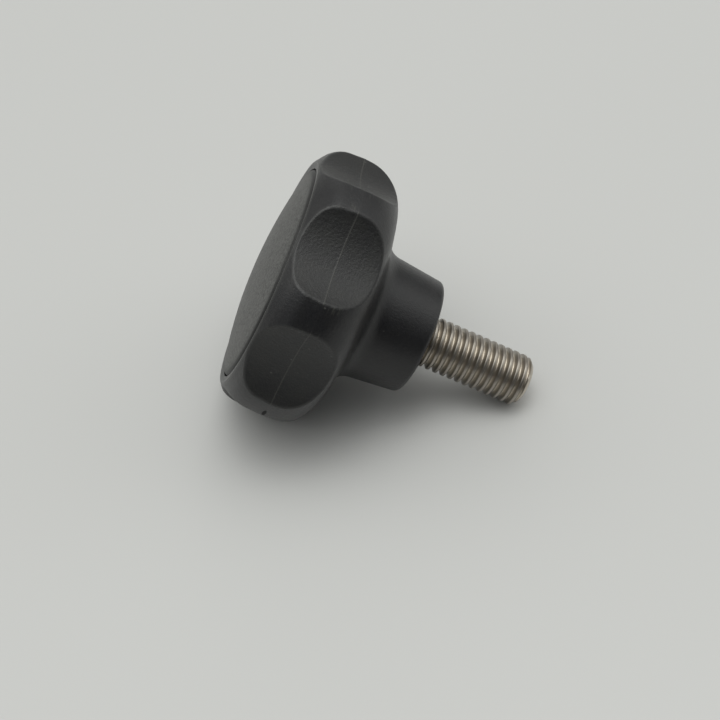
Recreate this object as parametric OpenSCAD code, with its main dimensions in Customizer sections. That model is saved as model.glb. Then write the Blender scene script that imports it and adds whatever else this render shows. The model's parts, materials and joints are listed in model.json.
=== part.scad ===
// Threaded clamping knob: a lobed hand knob of moulded nylon, with a domed snap-in cap over
// its hollow front and a hexagon-head screw moulded into its hub. The screw's free end is the
// threaded stud. Everything is in millimetres.
//
// Each piece is drawn about the knob's own axis: height 0 is the end face of the hub, the cap
// is above it and the stud points down. The last step lays the finished knob on its side, on
// the lobes each side of one finger scoop and on the tip of the stud.

/* [Head] */
// Diameter over the lobes, at the parting line
head_d = 42; // [36:0.5:50]
// Height of the parting line above the end of the hub
parting_h = 18.4; // [16:0.2:21]
// Height of the rim above the parting line
rim_rise = 6.8; // [6:0.2:8]
// Draft of the side wall in front of the parting line, in degrees
front_draft = 4; // [1:0.5:6]
// Draft of the side wall behind the parting line, in degrees
back_draft = 3; // [1:0.5:6]
// Height of the straight side wall in front of the parting line
front_wall = 2; // [1:0.2:2.6]
// Radius of the shoulder between the side wall and the rim
shoulder_r = 4.4; // [3:0.2:4.8]
// Width of the bevel between the rim and the cap
bevel_w = 0.85; // [0.4:0.05:1.2]
// Depth of that bevel
bevel_h = 0.6; // [0.2:0.1:0.9]
// Radius of the round between the side wall and the back face
back_r = 6.3; // [4:0.1:7]
// Slope of the back face, in degrees
back_slope = 16; // [8:1:22]

/* [Finger scoops] */
// Number of finger scoops round the side wall
scoop_count = 7; // [5:1:9]
// Radius of each scoop, which is a cylinder along the knob's axis
scoop_r = 15.5; // [12:0.5:20]
// Depth of each scoop at the parting line
scoop_depth = 2.8; // [1.5:0.1:3.2]

/* [Hub] */
// Diameter of the hub at its end
hub_d = 17.8; // [15:0.2:20]
// Draft of the hub's side, in degrees
hub_draft = 5.6; // [1:0.2:7]
// Height at which the back face would meet the hub without a fillet
neck_h = 9.7; // [8.5:0.1:11]
// Radius of the fillet between the hub and the back face
neck_r = 3; // [1.5:0.5:4]
// Radius of the round at the end of the hub
hub_round = 0.8; // [0.3:0.1:1.5]
// Diameter of the countersink round the stud, in the end face of the hub
mouth_d = 8.8; // [8.4:0.1:10]

/* [Cap] */
// Diameter of the cap
cap_d = 33; // [30:0.5:33.5]
// Gap round the cap
cap_gap = 0.15; // [0.05:0.05:0.3]
// Depth of the ledge that the cap sits on, below the rim
cap_seat = 2; // [1.8:0.1:2.6]
// Height of the dome's crown above the rim
cap_crown = 1.6; // [1.4:0.1:2.6]
// Radius of the dome
dome_r = 72; // [62:1:150]
// Radius of the round on the cap's edge
cap_edge_r = 1.6; // [0.6:0.1:1.8]
// Thickness of the cap's dome
cap_t = 1.5; // [1:0.1:2]
// Width of the ledge under the cap's edge
ledge_w = 1.9; // [1.5:0.1:3]
// Length of the skirt below the ledge
skirt_l = 4; // [3:0.5:6]
// Thickness of the skirt
skirt_t = 1.2; // [0.8:0.1:1.6]
// Gap between the skirt and the wall of the hollow
skirt_gap = 0.1; // [0.05:0.05:0.2]
// Number of slots that let the skirt flex
skirt_slots = 4; // [3:1:6]
// Width of each slot in the skirt
slot_w = 2; // [1:0.5:4]
// Radius of the snap bead round the skirt
bead_r = 0.4; // [0.2:0.1:0.5]

/* [Hollow] */
// Height of the hollow's floor above the end of the hub
floor_h = 14.2; // [13:0.2:15]
// Number of ribs in the hollow
rib_count = 7; // [3:1:9]
// Thickness of each rib
rib_t = 1.6; // [1:0.1:2.4]
// Distance from the ledge down to the top of the ribs
rib_drop = 4.6; // [4.4:0.1:6]
// Wall round the screw's head, measured from the corners of the hexagon
boss_wall = 1.6; // [1:0.1:3]
// Thickness of the lip moulded over the screw's head
lip_t = 0.8; // [0.4:0.1:1.2]
// Diameter of the opening in the lip
lip_d = 9.5; // [6:0.5:11]

/* [Screw] */
// Outside diameter of the thread
thread_d = 8; // [5:1:8]
// Pitch of the thread
thread_pitch = 1.25; // [0.8:0.05:1.5]
// Free length of the stud beyond the hub
stud_l = 17.8; // [12:0.2:40]
// Length of the shank inside the hub
grip_l = 12.2; // [11:0.1:12.8]
// Chamfer at the tip of the stud
tip_chamfer = 0.9; // [0.4:0.1:1.2]
// Distance across the flats of the screw's head
hex_af = 13; // [10:0.5:13]
// Height of the screw's head
hex_h = 5.3; // [4:0.1:5.5]
// Angle of the chamfer on the screw's head, in degrees
hex_chamfer = 30; // [15:5:35]

/* [Hidden] */
$fn = 96;

head_r = head_d / 2;
rim_h = parting_h + rim_rise;
scoop_step = 360 / scoop_count;

// Cap seat: the cap's recess opens with a bevel, whose outer edge is the crest of the rim
recess_r = cap_d / 2 + cap_gap;
crest_x = recess_r + bevel_w;
bevel_foot = rim_h - bevel_h;

// Shoulder: a circle that touches the front side wall and a straight slope up to the crest
shoulder_z = parting_h + front_wall;
shoulder_x = head_r - (shoulder_z - parting_h) * tan(front_draft) - shoulder_r / cos(front_draft);
shoulder_side = [shoulder_x, shoulder_z] + shoulder_r * [cos(front_draft), sin(front_draft)];
to_crest = [crest_x - shoulder_x, rim_h - shoulder_z];
shoulder_end = atan2(to_crest.y, to_crest.x) - acos(shoulder_r / norm(to_crest));
shoulder_top = [shoulder_x, shoulder_z] + shoulder_r * [cos(shoulder_end), sin(shoulder_end)];

// Back round: a circle that touches the back side wall and the back face
hub_neck_r = hub_d / 2 + neck_h * tan(hub_draft);
back_wall_x = head_r - back_r / cos(back_draft);
back_face_z = neck_h + back_r / cos(back_slope);
back_x = (back_wall_x - (parting_h - back_face_z + hub_neck_r * tan(back_slope)) * tan(back_draft))
       / (1 - tan(back_slope) * tan(back_draft));
back_z = back_face_z + (back_x - hub_neck_r) * tan(back_slope);
back_side = [back_x, back_z] + back_r * [cos(back_draft), -sin(back_draft)];
back_face = [back_x, back_z] + back_r * [sin(back_slope), -cos(back_slope)];

// Neck fillet: a circle that touches the hub's side and the back face from outside
hub_side_dir = [sin(hub_draft), cos(hub_draft)];
neck_corner = [hub_neck_r, neck_h];
neck_half = (90 + back_slope + hub_draft) / 2;
neck_run = neck_r / tan(neck_half);
neck_low = neck_corner - neck_run * hub_side_dir;
neck_centre = neck_low + neck_r * [cos(hub_draft), -sin(hub_draft)];

// Round at the end of the hub: a circle that touches the hub's side and its end face
hub_end_x = hub_d / 2 + hub_round * tan(hub_draft) - hub_round / cos(hub_draft);

// Scoops: distance of a scoop's centre from the axis, and half the angle that it spans
scoop_x = head_r - scoop_depth + scoop_r;
scoop_half = acos((pow(head_r, 2) + pow(scoop_x, 2) - pow(scoop_r, 2)) / (2 * head_r * scoop_x));

// Ledge, hollow and dome
ledge_h = rim_h - cap_seat;
hollow_r = recess_r - ledge_w;
skirt_r = hollow_r - skirt_gap;
bead_h = ledge_h - skirt_l + 2 * bead_r;
rib_h = ledge_h - rib_drop;
crown_h = rim_h + cap_crown;
cap_edge_x = cap_d / 2 - cap_edge_r;
dome_z = crown_h - dome_r;
cap_edge_z = dome_z + sqrt(pow(dome_r - cap_edge_r, 2) - pow(cap_edge_x, 2));
dome_touch_x = cap_edge_x * dome_r / (dome_r - cap_edge_r);

// Shank inside the hub, where the nylon fills the thread: it has the thread's pitch diameter
pitch_drop = 0.65;
grip_d = thread_d - pitch_drop * thread_pitch;
mouth_h = (mouth_d - grip_d) / 2;

// Screw head and the boss round it
hex_r = hex_af / 2 / cos(30);
head_top = grip_l + hex_h;
boss_r = hex_r + boss_wall;
boss_h = head_top + lip_t;

// Straight steps in each arc of an outline
arc_steps = 14;
// A cut runs this far past the face that it opens
past = 1;

// Points along an arc, from angle a to angle b
function arc(centre, r, a, b) =
    [for (i = [0 : arc_steps]) let (t = a + (b - a) * i / arc_steps) centre + r * [cos(t), sin(t)]];

// Distance of a scoop's wall from the knob's axis, a degrees from the middle of the scoop
function scoop_wall(a) = scoop_x * cos(a) - sqrt(max(0, pow(scoop_r, 2) - pow(scoop_x * sin(a), 2)));

// Heights of the head's outline, behind and in front of the parting line, at radius r
function height_behind(r) =
    r > back_side.x ? parting_h - (head_r - r) / tan(back_draft) :
    r > back_face.x ? back_z - sqrt(pow(back_r, 2) - pow(r - back_x, 2)) :
    neck_h + (r - hub_neck_r) * tan(back_slope);
function height_before(r) =
    r > shoulder_side.x ? parting_h + (head_r - r) / tan(front_draft) :
    r > shoulder_top.x ? shoulder_z + sqrt(pow(shoulder_r, 2) - pow(r - shoulder_x, 2)) :
    r > crest_x ? rim_h - (r - crest_x) / tan(shoulder_end) :
    rim_h;

// How far the knob reaches below its own centre when its axis is tilted by t degrees: the head
// rests on the edge between a scoop and the round behind it, and the stud on its chamfer
edge_angles = [for (i = [0 : 60]) scoop_half * i / 60];
function head_reach(t) =
    max([for (a = edge_angles) let (r = scoop_wall(a)) r * cos(a) * cos(t) - height_behind(r) * sin(t)]);
function tip_reach(t) = thread_d / 2 * cos(t) + (stud_l - tip_chamfer) * sin(t);
function rest_tilt(low = 0, high = 60, turns = 30) =
    let (t = (low + high) / 2)
    turns == 0 ? t :
    head_reach(t) > tip_reach(t) ? rest_tilt(t, high, turns - 1) : rest_tilt(low, t, turns - 1);

tilt = rest_tilt();
front_reach = max(concat(
    [rim_h * cos(tilt) + min(crest_x, scoop_wall(0)) * sin(tilt)],
    [for (a = edge_angles) let (r = scoop_wall(a)) height_before(r) * cos(tilt) + r * cos(a) * sin(tilt)]
));
stud_reach = stud_l * cos(tilt) + (thread_d / 2 - tip_chamfer) * sin(tilt);

// Lays the knob on its side: one scoop faces down, and the box that holds it is centred
module lay_down() {
    translate([(front_reach - stud_reach) / 2, 0, tip_reach(tilt)])
        rotate([0, tilt - 90, 0])
            children();
}

// Half outline of the solid head and hub
module body_outline() {
    polygon(concat(
        [[0, 0]],
        arc([hub_end_x, hub_round], hub_round, -90, -hub_draft),
        arc(neck_centre, neck_r, 180 - hub_draft, 90 + back_slope),
        arc([back_x, back_z], back_r, back_slope - 90, -back_draft),
        [[head_r, parting_h]],
        arc([shoulder_x, shoulder_z], shoulder_r, front_draft, shoulder_end),
        [[crest_x, rim_h], [recess_r, bevel_foot], [0, bevel_foot]]
    ));
}

// Seat of the cap: the recess for its disc, the hollow and the groove for its snap bead
module hollow() {
    translate([0, 0, ledge_h]) cylinder(r = recess_r, h = cap_seat + past);
    translate([0, 0, floor_h]) cylinder(r = hollow_r, h = ledge_h - floor_h + past);
    rotate_extrude() translate([skirt_r, bead_h]) circle(bead_r + skirt_gap, $fn = 32);
}

// Boss and ribs that carry the screw's head inside the hollow
module boss_and_ribs() {
    translate([0, 0, floor_h - past]) cylinder(r = boss_r, h = boss_h - floor_h + past);
    intersection() {
        translate([0, 0, floor_h - past]) cylinder(r = hollow_r + past, h = rib_h - floor_h + past);
        for (i = [0 : rib_count - 1])
            rotate(360 / rib_count * (i + 0.5))
                translate([-hollow_r - past, -rib_t / 2, floor_h - past])
                    cube([hollow_r + past, rib_t, rib_h]);
    }
}

// The moulded knob: head, hub and hollow in one piece
module knob_body() {
    color("#2e2f30")
        lay_down()
            difference() {
                rotate_extrude() body_outline();
                for (i = [0 : scoop_count - 1])
                    rotate(180 + scoop_step * i)
                        translate([scoop_x, 0, neck_h])
                            cylinder(r = scoop_r, h = rim_h - neck_h + past);
                difference() {
                    hollow();
                    boss_and_ribs();
                }
                screw();
                translate([0, 0, -past]) cylinder(d1 = mouth_d + 2 * past, d2 = grip_d, h = mouth_h + past);
                translate([0, 0, head_top]) cylinder(d = lip_d, h = lip_t + past);
            }
}

// Half outline of the cap: a thin dome with a rounded edge, and a skirt with its snap bead
module cap_outline() {
    difference() {
        union() {
            intersection() {
                translate([0, dome_z]) circle(dome_r, $fn = 200);
                translate([0, ledge_h]) square([dome_touch_x, cap_seat + cap_crown]);
            }
            intersection() {
                translate([cap_edge_x, cap_edge_z]) circle(cap_edge_r, $fn = 64);
                translate([0, ledge_h]) square([cap_d / 2, cap_seat]);
            }
            translate([cap_edge_x, ledge_h]) square([cap_edge_r, cap_edge_z - ledge_h]);
            translate([skirt_r - skirt_t, ledge_h - skirt_l]) square([skirt_t, skirt_l + cap_edge_r]);
            translate([skirt_r, bead_h]) circle(bead_r, $fn = 32);
        }
        intersection() {
            translate([0, dome_z]) circle(dome_r - cap_t, $fn = 200);
            translate([0, ledge_h - past]) square([skirt_r - skirt_t, cap_seat + cap_crown]);
        }
    }
}

// The domed cover that snaps into the head
module cap() {
    color("#4a4b4c")
        lay_down()
            difference() {
                rotate_extrude() cap_outline();
                for (i = [0 : skirt_slots - 1])
                    rotate(360 / skirt_slots * i)
                        translate([skirt_r - skirt_t - past, -slot_w / 2, ledge_h - skirt_l - past])
                            cube([skirt_t + 2 * past, slot_w, skirt_l + past]);
            }
}

// Hexagon-head screw, drawn head up with its tip below the hub
module screw() {
    translate([0, 0, -stud_l]) cylinder(d1 = thread_d - 2 * tip_chamfer, d2 = thread_d, h = tip_chamfer);
    translate([0, 0, tip_chamfer - stud_l]) cylinder(d = thread_d, h = stud_l - tip_chamfer);
    cylinder(d = grip_d, h = grip_l);
    intersection() {
        translate([0, 0, grip_l]) cylinder(r = hex_r, h = hex_h, $fn = 6);
        translate([0, 0, grip_l])
            cylinder(r1 = hex_af / 2 + hex_h / tan(hex_chamfer), r2 = hex_af / 2, h = hex_h);
    }
}

// The screw, whose free end is the threaded stud
module stud() {
    color("#c9c7c2")
        lay_down()
            screw();
}

knob_body();
cap();
stud();
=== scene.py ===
# A threaded clamping knob, lying on its side: a lobed hand knob of black nylon with a domed cap and a
# steel stud. Each piece is made in millimetres about the knob's own axis, with the end face of the hub
# at height 0, the cap above it and the stud below it, and is then laid down where the frame has it.
import json
import math

import bmesh
import bpy
import numpy as np
from mathutils import Matrix, Vector


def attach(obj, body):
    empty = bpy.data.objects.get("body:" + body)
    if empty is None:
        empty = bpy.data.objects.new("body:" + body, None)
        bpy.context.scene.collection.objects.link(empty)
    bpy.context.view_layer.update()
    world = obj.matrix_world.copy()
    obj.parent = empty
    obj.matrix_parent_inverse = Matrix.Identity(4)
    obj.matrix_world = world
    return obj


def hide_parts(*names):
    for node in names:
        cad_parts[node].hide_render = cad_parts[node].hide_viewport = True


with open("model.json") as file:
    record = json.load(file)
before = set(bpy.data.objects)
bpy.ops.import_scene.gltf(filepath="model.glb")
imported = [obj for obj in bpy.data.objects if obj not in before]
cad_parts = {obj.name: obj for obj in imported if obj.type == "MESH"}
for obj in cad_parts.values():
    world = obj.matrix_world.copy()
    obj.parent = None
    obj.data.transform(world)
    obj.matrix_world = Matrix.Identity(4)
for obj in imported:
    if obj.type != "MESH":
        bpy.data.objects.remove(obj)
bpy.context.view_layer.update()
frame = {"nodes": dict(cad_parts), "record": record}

# --- Knob body ------------------------------------------------------------------------------------
# The head and hub are one moulding of black glass-filled nylon. Its two mould halves part at the
# widest point of the head, and seven finger scoops run round its side. The front is hollow under
# the cap, with ribs and a boss round the head of the screw.

MM = 0.001
mounts = {mount["name"]: mount for mount in frame["record"]["mounts"]}
stud_out = Vector(mounts["stud"]["axis"])
stud_middle = Vector(mounts["stud"]["pos_m"])
hub_end = stud_middle - stud_out * mounts["stud"]["dims"]["length_mm"] * MM / 2
lean = math.acos(-stud_out.z)
lay_down = Matrix.Translation(hub_end) @ Matrix.Rotation(-lean, 4, "Y") @ Matrix.Scale(MM, 4)

head_r = 21.0
parting_h = 18.4
rim_h = 24.85
front_draft = math.radians(4)
back_draft = math.radians(3)
shoulder_r = 4.4
shoulder_z = 20.4
back_r = 6.3
back_slope = math.radians(16)
hub_r = 8.9
hub_draft = math.radians(5.6)
hub_round = 0.8
mouth_r = 4.4
mouth_round = 0.15
neck_h = 9.7
neck_r = 3.0
recess_r = 16.65
recess_round = 0.12
crest_x = 17.8
crest_round = 0.2
crest_margin = 0.12
bevel_foot = 24.7
scoop_count = 7
scoop_r = 15.5
scoop_depth = 2.8
scoop_x = head_r - scoop_depth + scoop_r
scoop_edge = 0.2
slide_reach = 1.2
hollow_floor = 14.2
hex_corner = 7.51
merge_gap = 0.001
sharp_angle = math.radians(35)

# Centres of the arcs, each of which touches the straight walls on both sides of it
shoulder_x = head_r - (shoulder_z - parting_h) * math.tan(front_draft) - shoulder_r / math.cos(front_draft)
to_crest = Vector((crest_x - shoulder_x, rim_h - shoulder_z))
shoulder_end = math.atan2(to_crest.y, to_crest.x) - math.acos(shoulder_r / to_crest.length)
shoulder_top = shoulder_z + shoulder_r * math.sin(shoulder_end)
neck_x = hub_r + neck_h * math.tan(hub_draft)
back_wall_x = head_r - back_r / math.cos(back_draft)
back_face_z = neck_h + back_r / math.cos(back_slope)
slopes = math.tan(back_slope) * math.tan(back_draft)
back_drop = parting_h - back_face_z + neck_x * math.tan(back_slope)
back_x = (back_wall_x - back_drop * math.tan(back_draft)) / (1 - slopes)
back_z = back_face_z + (back_x - neck_x) * math.tan(back_slope)
neck_half = (math.pi / 2 + back_slope + hub_draft) / 2
neck_run = neck_r / math.tan(neck_half)
neck_low = Vector((neck_x, neck_h)) - neck_run * Vector((math.sin(hub_draft), math.cos(hub_draft)))
neck_centre = neck_low + neck_r * Vector((math.cos(hub_draft), -math.sin(hub_draft)))
hub_end_x = hub_r + hub_round * math.tan(hub_draft) - hub_round / math.cos(hub_draft)


def arc(centre, radius, start, end, step):
    """Points along an arc about a centre, from one angle to another, a step or less apart."""
    count = max(2, math.ceil(radius * abs(end - start) / step))
    angles = [start + (end - start) * i / count for i in range(count + 1)]
    return [(centre[0] + radius * math.cos(a), centre[1] + radius * math.sin(a)) for a in angles]


def rounded(before, corner, after, radius, step=0.08):
    """Points along the small round in the corner between two straight lines."""
    corner = Vector(corner)
    first, second = (Vector(before) - corner).normalized(), (Vector(after) - corner).normalized()
    half = first.angle(second) / 2
    centre = corner + (first + second).normalized() * radius / math.sin(half)
    begin, end = (math.atan2(way.y, way.x) for way in
                  (corner + side * radius / math.tan(half) - centre for side in (first, second)))
    end = begin + math.remainder(end - begin, 2 * math.pi)
    return arc(centre, radius, begin, end, step)


def draw_outline(shape, points, longest=math.inf):
    """Draws an outline of (radius, height) points, with its long edges cut into even lengths."""
    corners = [shape.verts.new((x, 0, z)) for x, z in points]
    for edge in [shape.edges.new(pair) for pair in zip(corners, corners[1:])]:
        cuts = int(edge.calc_length() / longest)
        if cuts:
            bmesh.ops.subdivide_edges(shape, edges=[edge], cuts=cuts)


def spin_outline(shape):
    """Spins the outline through a full turn about the axis."""
    bmesh.ops.spin(shape, geom=shape.verts[:] + shape.edges[:], cent=(0, 0, 0), axis=(0, 0, 1),
                   angle=2 * math.pi, steps=columns, use_merge=True)


row_gap = 0.5
round_step = 0.1
columns = 168
quarter = math.pi / 2
body = bmesh.new()
draw_outline(body, (
    arc((mouth_r + mouth_round, mouth_round), mouth_round, -math.pi, -quarter, round_step)
    + arc((hub_end_x, hub_round), hub_round, -quarter, -hub_draft, 1.5 * round_step)
    + arc(neck_centre, neck_r, math.pi - hub_draft, quarter + back_slope, row_gap)
    + arc((back_x, back_z), back_r, back_slope - quarter, -back_draft, row_gap)
    + [(head_r, parting_h)]
    + arc((shoulder_x, shoulder_z), shoulder_r, front_draft, shoulder_end, row_gap)
    + rounded((shoulder_x + shoulder_r * math.cos(shoulder_end), shoulder_top), (crest_x, rim_h),
              (recess_r, bevel_foot), crest_round)
    + rounded((crest_x, rim_h), (recess_r, bevel_foot), (recess_r, bevel_foot - 1), recess_round)
), row_gap)
spin_outline(body)


def scoop_gap(points):
    """Distance of each point outside its nearest finger scoop, which is a cylinder along the axis."""
    step = 2 * math.pi / scoop_count
    turn = np.arctan2(points[:, 1], points[:, 0]) + math.pi
    turn -= step * np.round(turn / step)
    radius = np.hypot(points[:, 0], points[:, 1])
    return np.hypot(radius * np.cos(turn) - scoop_x, radius * np.sin(turn)) - scoop_r


def wall_gap(radius, height):
    """Distance outside the head's side wall, for points from its back round to its shoulder."""
    front = (radius - head_r) * math.cos(front_draft) + (height - parting_h) * math.sin(front_draft)
    back = (radius - head_r) * math.cos(back_draft) - (height - parting_h) * math.sin(back_draft)
    shoulder = np.hypot(radius - shoulder_x, height - shoulder_z) - shoulder_r
    back_round = np.hypot(radius - back_x, height - back_z) - back_r
    slope = (radius - crest_x) * math.cos(shoulder_end) + (height - rim_h) * math.sin(shoulder_end)
    wall = np.maximum(front, back)
    wall = np.where(height > shoulder_z + shoulder_r * math.sin(front_draft), shoulder, wall)
    wall = np.where(height > shoulder_top, slope, wall)
    return np.where(height < back_z - back_r * math.sin(back_draft), back_round, wall)


def near_scoop(points, reach):
    """Which points of the head's side, outside the crest of its rim, are in a scoop or close to one."""
    outside_crest = np.hypot(points[:, 0], points[:, 1]) > crest_x + crest_margin
    return outside_crest & (points[:, 2] > back_z - back_r) & (scoop_gap(points) < reach)


# Finer faces along the edge of each scoop
for reach in (1.1, 0.7, 0.42):
    body.verts.index_update()
    points = np.array([v.co[:] for v in body.verts])
    close = near_scoop(points, reach) & (scoop_gap(points) > -reach)
    edges = [e for e in body.edges if close[e.verts[0].index] and close[e.verts[1].index]]
    bmesh.ops.subdivide_edges(body, edges=edges, cuts=1, use_grid_fill=True)

# The side wall slides straight in to the scoops, with a small round along their edges
points = np.array([v.co[:] for v in body.verts])
scooped_out = near_scoop(points, slide_reach)
height = points[scooped_out, 2]
turn = np.arctan2(points[scooped_out, 1], points[scooped_out, 0])
ray = np.stack([np.cos(turn), np.sin(turn)], axis=1)
inner, outer = np.full(len(turn), recess_r - 1), np.full(len(turn), head_r + 1)
for _ in range(40):
    radius = (inner + outer) / 2
    wall = wall_gap(radius, height)
    scoop = -scoop_gap(ray * radius[:, None])
    edge_gap = np.hypot(np.maximum(wall + scoop_edge, 0), np.maximum(scoop + scoop_edge, 0)) - scoop_edge
    outside = np.where(np.minimum(wall, scoop) > -scoop_edge, edge_gap, np.maximum(wall, scoop)) > 0
    outer = np.where(outside, radius, outer)
    inner = np.where(outside, inner, radius)
points[scooped_out, :2] = ray * inner[:, None]
for vertex, place in zip(body.verts, points):
    vertex.co = place


def stand_up(node):
    """A copy of one of the frame's solids on the knob's own axis, with its loose triangles merged."""
    shape = bmesh.new()
    shape.from_mesh(frame["nodes"][node].data)
    shape.transform(lay_down.inverted())
    bmesh.ops.remove_doubles(shape, verts=shape.verts, dist=2 * merge_gap)
    return shape


def cut_off(shape, height, up):
    """Cuts off what is above a height (up is 1), or below it (up is -1)."""
    bmesh.ops.bisect_plane(shape, geom=shape.verts[:] + shape.edges[:] + shape.faces[:], dist=merge_gap / 10,
                           plane_co=(0, 0, height), plane_no=(0, 0, up), clear_outer=True)


def add_shape(shape, other):
    """Moves another shape's faces into this one."""
    carrier = bpy.data.meshes.new("carrier")
    other.to_mesh(carrier)
    other.free()
    shape.from_mesh(carrier)
    bpy.data.meshes.remove(carrier)


# The hollow, its ribs and boss, the pocket of the screw's head and the bore are the solid's own faces
inside = stand_up("knob_body")
cut_off(inside, bevel_foot - 2 * recess_round, 1)


def in_hollow_or_bore(face):
    """Whether a face of the solid is part of its hollow or its bore."""
    reach = max(v.co.xy.length for v in face.verts)
    low, high = min(v.co.z for v in face.verts), max(v.co.z for v in face.verts)
    in_hollow = low > hollow_floor - 0.1 and reach < recess_r + 0.1
    in_bore = high > 0.01 and reach < hex_corner
    return in_hollow or in_bore


bmesh.ops.delete(inside, geom=[f for f in inside.faces if not in_hollow_or_bore(f)], context="FACES")
add_shape(body, inside)
rings = [e for e in body.edges if e.is_boundary]
for high in (False, True):
    bmesh.ops.bridge_loops(body, edges=[e for e in rings if (e.verts[0].co.z > hollow_floor) == high])


def lay_piece(shape, name):
    """Makes a finished shape an object, laid down where the frame has the knob."""
    bmesh.ops.recalc_face_normals(shape, faces=shape.faces)
    mesh = bpy.data.meshes.new(name)
    shape.to_mesh(mesh)
    shape.free()
    mesh.transform(lay_down)
    mesh.shade_smooth()
    mesh.set_sharp_from_angle(angle=sharp_angle)
    piece = bpy.data.objects.new(name, mesh)
    bpy.context.scene.collection.objects.link(piece)
    return piece


moulded_body = lay_piece(body, "moulded_body")
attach(moulded_body, "root")
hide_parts("knob_body")


class Wire:
    """A value inside a material. Arithmetic on it adds Math nodes."""

    def __init__(self, socket):
        self.socket = socket

    def maths(self, operation, other=0.0, swap=False):
        """Adds a Math node on this value and another one, or a number."""
        tree = self.socket.id_data
        node = tree.nodes.new("ShaderNodeMath")
        node.operation = operation
        ports = node.inputs[:2]
        tree.links.new(self.socket, ports[swap])
        if isinstance(other, Wire):
            tree.links.new(other.socket, ports[not swap])
        else:
            ports[not swap].default_value = other
        return Wire(node.outputs[0])

    def __add__(self, other):
        return self.maths("ADD", other)

    __radd__ = __add__

    def __sub__(self, other):
        return self.maths("SUBTRACT", other)

    def __rsub__(self, other):
        return self.maths("SUBTRACT", other, swap=True)

    def __mul__(self, other):
        return self.maths("MULTIPLY", other)

    __rmul__ = __mul__

    def __truediv__(self, other):
        return self.maths("DIVIDE", other)

    def __rtruediv__(self, other):
        return self.maths("DIVIDE", other, swap=True)

    def __pow__(self, other):
        return self.maths("POWER", other)

    def __rpow__(self, other):
        return self.maths("POWER", other, swap=True)

    def __abs__(self):
        return self.maths("ABSOLUTE")


class Finish:
    """The nodes of a material, or of the studio's world."""

    def __init__(self, owner):
        owner.use_nodes = True
        self.owner = owner
        self.tree = owner.node_tree
        self.tree.nodes.clear()

    def node(self, kind, settings=(), **sockets):
        """Adds a node. Its settings are set first, and then the values or links of its sockets."""
        node = self.tree.nodes.new("ShaderNode" + kind)
        for name, value in dict(settings).items():
            setattr(node, name, value)
        for name, value in sockets.items():
            port = node.inputs[int(name[1:])] if name[0] == "_" else node.inputs[name.replace("_", " ")]
            if isinstance(value, Wire):
                self.tree.links.new(value.socket, port)
            else:
                port.default_value = value
        return node

    def wire(self, kind, settings=(), out=0, **sockets):
        """Adds a node and gives one of its outputs."""
        return Wire(self.node(kind, settings, **sockets).outputs[out])

    def on_knob(self):
        """The place on the knob's own axes in millimetres, with its x, its y, its height and its radius."""
        place = self.wire("TexCoord", out="Object")
        place = self.wire("Mapping", {"vector_type": "TEXTURE"}, Vector=place, Location=hub_end,
                          Rotation=(0, -lean, 0), Scale=(MM, MM, MM))
        x, y, z = (Wire(port) for port in self.node("SeparateXYZ", Vector=place).outputs)
        return place, x, y, z, (x * x + y * y) ** 0.5

    def noise(self, place, scale, detail, roughness):
        """Soft random variation from 0 to 1, finer with a higher scale."""
        return self.wire("TexNoise", Vector=place, Scale=scale, Detail=detail, Roughness=roughness)

    def ramp(self, value, low, high):
        """0 below low, 1 above high, and a smooth rise between them."""
        return self.wire("MapRange", {"interpolation_type": "SMOOTHSTEP"}, Value=value,
                         _1=low, _2=high, _3=0.0, _4=1.0)

    def mix(self, amount, first, second):
        """One colour where the amount is 0, and the other where it is 1."""
        return self.wire("Mix", {"data_type": "RGBA"}, out=2, _0=amount, _6=first, _7=second)


nylon = Finish(bpy.data.materials.new("black nylon"))
place, knob_x, knob_y, knob_z, radius = nylon.on_knob()
turn = knob_y.maths("ARCTAN2", knob_x)

# Fine leathery grain of the spark-eroded mould, deeper in the scoops, which are also a little paler
half_turn = abs(((turn + math.pi) * (scoop_count / 2)).maths("SINE")).maths("ARCSINE") * (2 / scoop_count)
outwards = radius * half_turn.maths("COSINE") - scoop_x
sideways = radius * half_turn.maths("SINE")
scoop_off = (outwards * outwards + sideways * sideways) ** 0.5 - scoop_r
in_scoop = 1 - nylon.ramp(scoop_off, 0.02, 0.35)
grain = nylon.noise(place, 2.1, 3.0, 0.6)
fine = nylon.noise(place, 6.0, 2.0, 0.55)
cloud = nylon.noise(place, 0.3, 3.0, 0.6)
relief = (grain - 0.5) * (0.035 + 0.03 * in_scoop) + (fine - 0.5) * 0.028
cloudy = nylon.ramp(cloud, 0.35, 0.65)
plain = nylon.mix(cloudy, (0.0078, 0.0077, 0.0092, 1), (0.0102, 0.0099, 0.0108, 1))
scooped = nylon.mix(cloudy, (0.0096, 0.0096, 0.0103, 1), (0.0126, 0.0126, 0.0122, 1))
shade = nylon.mix(in_scoop, plain, scooped)
shade = nylon.mix(nylon.ramp(fine, 0.5, 0.72) * (0.25 + 0.3 * in_scoop), shade, (0.028, 0.028, 0.025, 1))

# Parting line, where the two mould halves leave a hair of flash
from_parting = abs(knob_z - parting_h)
parting = 1 - nylon.ramp(from_parting, 0.03, 0.13)
flash = parting * (0.12 + 0.88 * in_scoop) * nylon.ramp(radius, recess_r + 1, recess_r + 1.2)
relief = relief + flash * 0.015
shade = nylon.mix(flash * 0.65, shade, (0.046, 0.045, 0.04, 1))

# Painted highlight along the crest of the rim, where its small round catches the light
painted_crest_highlight = nylon.ramp(knob_z, rim_h - 0.3, rim_h - 0.12) * nylon.ramp(radius, crest_x - 0.55, crest_x - 0.25)
shade = nylon.mix(painted_crest_highlight * 0.5, shade, (0.045, 0.045, 0.042, 1))
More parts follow.
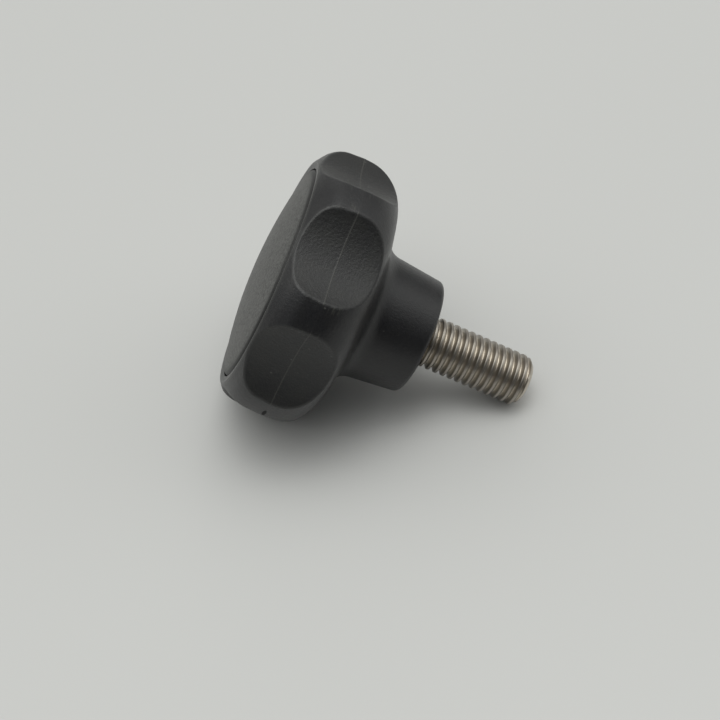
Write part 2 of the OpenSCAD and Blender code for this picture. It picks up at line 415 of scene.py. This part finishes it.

# Hairs where the flash was scraped off over the edges of the scoops, and the cut stub of the gate: a rough
# shallow dip, painted near-black as painted shade of a small groove
gate_turn = math.radians(-105.2)
gate_l = 2.2
gate_w = 0.6
streak_place = nylon.wire("CombineXYZ", _0=turn * 7, _2=knob_z * 3.4)
streak = nylon.ramp(nylon.noise(streak_place, 1.0, 2.0, 0.6), 0.56, 0.66)
at_edge = (1 - nylon.ramp(scoop_off, 0.3, 1.3)) * nylon.ramp(scoop_off, 0.0, 0.1)
scraped = streak * at_edge * (1 - nylon.ramp(from_parting, 1.2, 3.6))
shade = nylon.mix(scraped * 0.6, shade, (0.05, 0.05, 0.044, 1))
gate_along = (turn - gate_turn) * head_r / gate_l
gate_across = (knob_z - parting_h) / gate_w
gate_dip_and_painted_shade = 1 - nylon.ramp(gate_along * gate_along + gate_across * gate_across, 0.1, 0.3)
relief = relief - gate_dip_and_painted_shade * 0.08
# The stub is painted near-black: painted shade standing in for the shade of its groove
shade = nylon.mix(gate_dip_and_painted_shade, shade, (0.002, 0.002, 0.002, 1))

# Dust and nicks
squeezed = nylon.wire("VectorMath", {"operation": "MULTIPLY"}, _0=place, _1=(1.0, 0.5, 0.6))
cells = nylon.node("TexVoronoi", Vector=squeezed, Scale=0.6)
chance = nylon.node("SeparateXYZ", Vector=Wire(cells.outputs["Color"])).outputs[0]
nick = (1 - nylon.ramp(Wire(cells.outputs["Distance"]), 0.03, 0.09)) * nylon.ramp(Wire(chance), 0.62, 0.66)
shade = nylon.mix(nick * 0.7, shade, (0.07, 0.07, 0.064, 1))

bump = nylon.wire("Bump", Strength=1.0, Distance=MM, Height=relief)
gloss = 0.36 + (grain - 0.5) * 0.15 + in_scoop * 0.06 + gate_dip_and_painted_shade * 0.5
surface = nylon.wire("BsdfPrincipled", Base_Color=shade, Roughness=gloss, IOR=1.5, Normal=bump)
nylon.node("OutputMaterial", Surface=surface)
moulded_body.data.materials.append(nylon.owner)

# --- Stud -----------------------------------------------------------------------------------------
# The free end of a stainless steel hexagon-head screw, M8 with a pitch of 1.25 mm. Its right-hand
# thread is rolled, with small rounds on its crests and in its roots. The hub is moulded round the
# rest of the screw, where the nylon fills the thread.

thread_r = 4.0
thread_pitch = 1.25
stud_l = 17.8
ridge_round = 0.13
root_round = 0.08
root_r = thread_r - 0.53 * thread_pitch
ridge_extra = 0.1
pitch_r = thread_r - 0.325 * thread_pitch
tip_chamfer = 0.9
thread_columns = 72
thread_row_gap = 0.13
mouth_h = mouth_r - pitch_r

flank = math.radians(60)
half_ridge = thread_pitch / 4 + ridge_extra
ridge_x = thread_r - ridge_round
ridge_z = half_ridge - (ridge_round + (ridge_x - pitch_r) * math.cos(flank)) / math.sin(flank)
root_x = root_r + root_round
root_z = half_ridge + (root_round - (root_x - pitch_r) * math.cos(flank)) / math.sin(flank)
rising = (arc((ridge_x, ridge_z), ridge_round, 0, flank, 0.03)
          + arc((root_x, root_z), root_round, math.pi + flank, math.pi, 0.06))
ridge = [(x, -z) for x, z in reversed(rising)] + rising
turns = math.ceil((stud_l + mouth_h) / thread_pitch) + 3

thread = bmesh.new()
lowest_ridge = tip_chamfer - stud_l - 1.5 * thread_pitch
draw_outline(thread, [(x, z + lowest_ridge + i * thread_pitch) for i in range(turns) for x, z in ridge],
             thread_row_gap)
bmesh.ops.spin(thread, geom=thread.verts[:] + thread.edges[:], cent=(0, 0, 0), axis=(0, 0, 1),
               dvec=(0, 0, thread_pitch / thread_columns), angle=2 * math.pi, steps=thread_columns)
bmesh.ops.remove_doubles(thread, verts=thread.verts, dist=merge_gap)
cut_off(thread, -stud_l, -1)
cut_off(thread, mouth_h, 1)

# The thread runs out in the mouth of the hub, and the tip is chamfered
for vertex in thread.verts:
    radius = vertex.co.xy.length
    run_out = min(1, (mouth_h - vertex.co.z) / (mouth_h * 0.8))
    wanted = pitch_r + (radius - pitch_r) * run_out
    wanted = min(wanted, thread_r - tip_chamfer + vertex.co.z + stud_l)
    vertex.co.xy *= wanted / radius
bmesh.ops.holes_fill(thread, edges=[e for e in thread.edges if e.is_boundary and e.verts[0].co.z < 0])

# The rest of the screw, inside the hub, is the solid's own
shank = stand_up("stud")
cut_off(shank, mouth_h + 0.1, -1)
add_shape(thread, shank)
bmesh.ops.bridge_loops(thread, edges=[e for e in thread.edges if e.is_boundary])

threaded_stud = lay_piece(thread, "threaded_stud")
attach(threaded_stud, "root")
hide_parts("stud")

# Rolled steel with a warm cast, smeared and lightly scuffed. Its roots are painted lighter and its crests
# darker: painted light against the shade in the roots, and painted shade that dims the highlights on the
# crests
steel = Finish(bpy.data.materials.new("stainless steel"))
place, *_, radius = steel.on_knob()
smear = steel.noise(place, 1.6, 3.0, 0.6)
scuff = steel.noise(place, 7.0, 2.0, 0.6)
# Lighter in the roots, darker on the crests: painted light and painted shade
root = 1 - steel.ramp(radius, root_r, pitch_r + 0.2)
tint = steel.mix(root, (0.36, 0.33, 0.29, 1), (0.58, 0.53, 0.46, 1))
tint = steel.mix(steel.ramp(smear, 0.4, 0.75) * 0.3, tint, (0.3, 0.27, 0.235, 1))
surface = steel.wire("BsdfPrincipled", Base_Color=tint, Metallic=1.0, Roughness=0.27 + scuff * 0.12)
steel.node("OutputMaterial", Surface=surface)
threaded_stud.data.materials.append(steel.owner)

# --- Cap ------------------------------------------------------------------------------------------
# The cover over the front of the head is a thin dome of the same nylon, with a sparkled face and a
# smooth rounded edge. Its skirt snaps into the hollow below it.

crown_h = 26.8
dome_r = 72.0
cap_r = 16.5
cap_edge_r = 0.8
cap_t = 1.5
ledge_h = 23.2
skirt_r = 14.65
skirt_t = 1.2
skirt_end = 19.2
bead_r = 0.4
dome_z = crown_h - dome_r
dome_end = math.acos((cap_r - cap_edge_r) / (dome_r - cap_edge_r))
edge_z = dome_z + (dome_r - cap_edge_r) * math.sin(dome_end)
under_r = dome_r - cap_t
under_end = math.acos((skirt_r - skirt_t) / under_r)

cap = bmesh.new()
draw_outline(cap, (
    arc((0, dome_z), dome_r, quarter, dome_end, row_gap)
    + arc((cap_r - cap_edge_r, edge_z), cap_edge_r, dome_end, 0, 0.08)[1:]
    + [(cap_r, ledge_h), (skirt_r, ledge_h)]
    + arc((skirt_r, skirt_end + 2 * bead_r), bead_r, quarter, -quarter, 0.1)
    + [(skirt_r, skirt_end), (skirt_r - skirt_t, skirt_end)]
    + arc((0, dome_z), under_r, under_end, quarter, 2)
))
spin_outline(cap)
bmesh.ops.remove_doubles(cap, verts=cap.verts, dist=merge_gap)

domed_cap = lay_piece(cap, "domed_cap")
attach(domed_cap, "root")
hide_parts("cap")

# Grey sparkle of the spark-eroded face, cloudy here and there, and a smooth edge round it, painted
# near-black: painted shade where the edge lies under the rim
sparkled = Finish(bpy.data.materials.new("sparkled nylon"))
place, *_, radius = sparkled.on_knob()
sparkle = sparkled.noise(place, 2.3, 2.0, 0.6)
fine = sparkled.noise(place, 5.0, 2.0, 0.5)
cloud = sparkled.noise(place, 0.5, 3.0, 0.6)
face = 1 - sparkled.ramp(radius, cap_r - 1.6, cap_r + 0.1)
relief = ((sparkle - 0.5) * 0.04 + (fine - 0.5) * 0.03) * face
speck = sparkled.ramp((fine + sparkle) * 0.5, 0.38, 0.62)
shade = sparkled.mix(speck, (0.018, 0.018, 0.017, 1), (0.102, 0.102, 0.097, 1))
shade = sparkled.mix(sparkled.ramp(cloud, 0.42, 0.62) * 0.35, shade, (0.085, 0.085, 0.08, 1))
# Painted shade: the cap's edge is darkened to near-black for the dark seam under the rim
shade = sparkled.mix(1 - face, shade, (0.004, 0.004, 0.004, 1))
bump = sparkled.wire("Bump", Strength=1.0, Distance=MM, Height=relief)
surface = sparkled.wire("BsdfPrincipled", Base_Color=shade, Roughness=0.5, IOR=1.5, Normal=bump)
sparkled.node("OutputMaterial", Surface=surface)
domed_cap.data.materials.append(sparkled.owner)

# --- Floor ----------------------------------------------------------------------------------------
# A plain pale sheet of matt card, large enough to fill the view from every side. The knob rests on
# it on its rim and on the end of its stud.

sheet = bmesh.new()
bmesh.ops.create_grid(sheet, size=2)
floor_mesh = bpy.data.meshes.new("floor")
sheet.to_mesh(floor_mesh)
sheet.free()
floor = bpy.data.objects.new("floor", floor_mesh)
bpy.context.scene.collection.objects.link(floor)

card = Finish(bpy.data.materials.new("pale card"))
surface = card.wire("BsdfPrincipled", Base_Color=(0.53, 0.53, 0.52, 1), Roughness=0.5)
card.node("OutputMaterial", Surface=surface)
floor_mesh.materials.append(card.owner)

# --- Camera ---------------------------------------------------------------------------------------
# It looks down on the knob from the side of its stud, from 230 mm away, turned a little about its
# own line of sight. One millimetre on the knob is 6.635 pixels of a frame 720 pixels wide.

aim = Vector((-1.87, -4.24, 9.23))
distance = 230
azimuth = math.radians(14.362)
elevation = math.radians(48.591)
roll = math.radians(-4.617)
pixels_per_mm = 6.635
frame_pixels = 720

lens = bpy.data.cameras.new("camera")
lens.sensor_width = 36
lens.lens = lens.sensor_width * pixels_per_mm * distance / frame_pixels
camera = bpy.data.objects.new("camera", lens)
bpy.context.scene.collection.objects.link(camera)
look_down = Matrix.Rotation(azimuth, 4, "Z") @ Matrix.Rotation(quarter - elevation, 4, "X")
step_back = Matrix.Rotation(roll, 4, "Z") @ Matrix.Translation((0, 0, distance * MM))
camera.matrix_world = Matrix.Translation(aim * MM) @ look_down @ step_back
bpy.context.scene.camera = camera

# --- Studio ---------------------------------------------------------------------------------------
# Soft boxes in a dark room: a large one overhead, others above the sides, and lower ones that light
# the hub and the stud. One in front, low down, is a little bluer than the rest.

world = bpy.data.worlds.new("studio")
bpy.context.scene.world = world
studio = Finish(world)
sky = studio.wire("TexCoord", out="Generated")


def soft_box(turn, rise, focus):
    """Light that comes from round one direction, given in degrees; it is smaller with more focus."""
    turn, rise = math.radians(turn), math.radians(rise)
    way = (math.sin(turn) * math.cos(rise), -math.cos(turn) * math.cos(rise), math.sin(rise))
    near = studio.wire("VectorMath", {"operation": "DOT_PRODUCT"}, out="Value", _0=sky, _1=way)
    return math.e ** ((near - 1) * focus)


level = sum(strength * soft_box(turn, rise, focus) for strength, turn, rise, focus in (
    (1.2, 0, 90, 9),
    (3.7, 0, 90, 40),
    (1.3, 340, 66, 22),
    (1.15, 144, 66, 22),
    (0.85, 120, 62, 9),
    (1.2, 275, 46, 14),
    (0.85, 252, 35, 9),
    (1.25, 112, 17, 10),
    (1.0, 187, 15, 13),
    (1.05, 330, 3, 22),
))
tone = studio.mix(soft_box(15, 5, 4), (0.99, 1, 0.975, 1), (0.85, 0.93, 1, 1))
light = studio.wire("Background", Color=tone, Strength=level)
studio.node("OutputWorld", Surface=light)
bpy.context.scene.view_settings.view_transform = "Standard"
